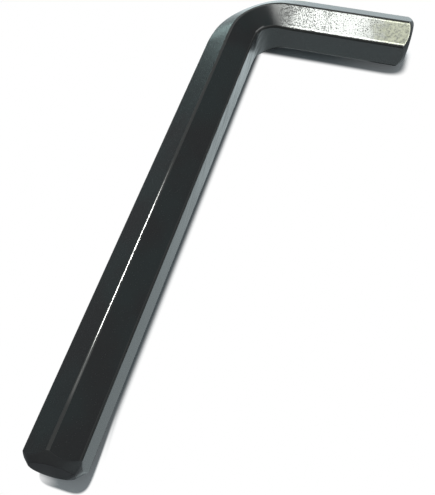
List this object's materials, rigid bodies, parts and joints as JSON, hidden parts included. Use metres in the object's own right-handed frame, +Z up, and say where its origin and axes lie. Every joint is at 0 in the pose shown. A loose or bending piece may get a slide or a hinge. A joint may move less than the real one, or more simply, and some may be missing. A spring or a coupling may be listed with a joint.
{
  "type": "hex key",
  "caption": "Hexagonal steel bar bent to an L, with chamfered tips, for turning screws that have a hexagon socket.",
  "frame": {"origin": "centre of the bounding box's footprint, on the surface that the key lies on", "axes": "+Y along the long arm towards the bend, +X along the short arm towards its tip, +Z up from the surface it lies on"},
  "size_m": [0.0438, 0.1152, 0.0114],
  "materials": {
    "black_steel": "semi-gloss black oxide on hardened steel, drawn along the bar, corners worn bright here and there"
  },
  "bodies": {
    "root": {"hex_key": "black_steel"}
  },
  "joints": []
}
